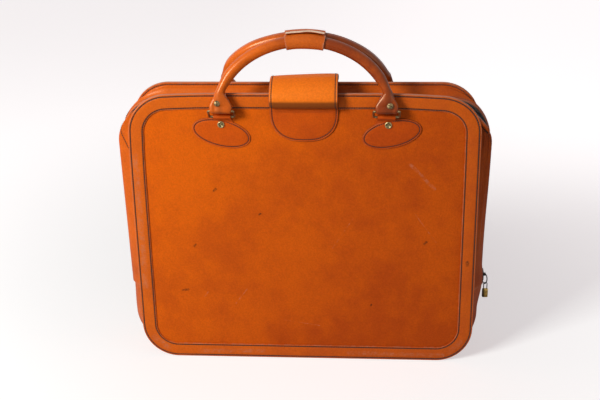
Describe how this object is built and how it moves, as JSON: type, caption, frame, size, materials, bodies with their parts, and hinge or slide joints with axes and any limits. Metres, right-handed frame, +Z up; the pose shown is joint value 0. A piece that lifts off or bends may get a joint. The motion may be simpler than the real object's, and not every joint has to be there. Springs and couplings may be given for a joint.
{
  "type": "soft leather suitcase",
  "caption": "Wedge shaped leather suitcase with stiff panels, side gussets, two rolled handles, a closure strap and a zip with a hanging padlock.",
  "frame": {"origin": "on the floor, under the middle of the whole outline, padlock included", "axes": "+Z up, +X across the case towards the side with the zip slider, the front panel faces -Y"},
  "size_m": [0.4978, 0.103, 0.4583],
  "materials": {
    "panel_leather": "waxed, worn",
    "band_leather": "waxed, worn",
    "gusset_leather": "waxed",
    "strap_leather": "waxed",
    "handle_leather": "polished by hands",
    "board": "pressed board",
    "lining": "black woven lining",
    "zip_tape": "black woven tape",
    "zip_metal": "blackened",
    "brass": "aged",
    "steel": "plain"
  },
  "bodies": {
    "rear_shell": {"rear_panel_leather": "panel_leather", "rear_board": "board", "rear_lining": "lining", "rear_band": "band_leather", "rear_half_gusset": "gusset_leather", "rear_zip_tape": "zip_tape", "rear_zip_teeth": "zip_metal", "rear_rings": "brass", "rear_patch_left": "strap_leather", "rear_patch_right": "strap_leather", "rear_patch_rivets": "brass", "base_gusset": "gusset_leather", "catch_plate": "steel", "catch_wedge": "strap_leather", "zip_end_stop": "gusset_leather"},
    "front_shell": {"front_panel_leather": "panel_leather", "front_board": "board", "front_lining": "lining", "front_band": "band_leather", "front_half_gusset": "gusset_leather", "front_zip_tape": "zip_tape", "front_zip_teeth": "zip_metal", "front_rings": "brass", "front_patch_left": "strap_leather", "front_patch_right": "strap_leather", "front_patch_rivets": "brass", "strap_tongue": "strap_leather"},
    "front_handle": {"front_handle_roll": "handle_leather", "front_handle_rivets": "brass", "front_keeper_sleeve": "handle_leather"},
    "rear_handle": {"rear_handle_roll": "handle_leather", "rear_handle_rivets": "brass", "rear_keeper_sleeve": "handle_leather"},
    "closure_strap": {"closure_strap": "strap_leather", "strap_magnet": "steel"},
    "zip_slider": {"zip_slider": "zip_metal"},
    "zip_pull": {"zip_pull": "zip_metal"},
    "padlock_shackle": {"padlock_shackle": "steel"},
    "padlock_body": {"padlock_body": "brass"}
  },
  "joints": [
    {"name": "lid_open", "type": "hinge", "parent": "rear_shell", "child": "front_shell", "pos_m": [-0.00481, -0.04893, 0.00077], "axis": [1, 0, 0], "range_deg": [0, 30]},
    {"name": "strap_lift", "type": "hinge", "parent": "front_shell", "child": "closure_strap", "pos_m": [-0.00481, -0.03998, 0.37349], "axis": [1, 0, 0], "range_deg": [0, 180]},
    {"name": "front_handle_swing", "type": "hinge", "parent": "front_shell", "child": "front_handle", "pos_m": [-0.00481, -0.04043, 0.36606], "axis": [1, 0, 0], "range_deg": [0, 188]},
    {"name": "rear_handle_swing", "type": "hinge", "parent": "rear_shell", "child": "rear_handle", "pos_m": [-0.00481, 0.04043, 0.36606], "axis": [-1, 0, 0], "range_deg": [0, 188]},
    {"name": "zip_run", "type": "slide", "parent": "rear_shell", "child": "zip_slider", "axis": [0, 0, 1], "range_m": [0, 0.195]},
    {"name": "zip_pull_swing", "type": "hinge", "parent": "zip_slider", "child": "zip_pull", "pos_m": [0.24194, 0, 0.1105], "axis": [0, -1, 0], "range_deg": [0, 120]},
    {"name": "padlock_swing", "type": "hinge", "parent": "zip_pull", "child": "padlock_shackle", "pos_m": [0.24481, 0, 0.09578], "axis": [0, -1, 0], "range_deg": [-3, 75]},
    {"name": "padlock_release", "type": "slide", "parent": "padlock_shackle", "child": "padlock_body", "axis": [0, 0, -1], "range_m": [0, 0.003]}
  ]
}
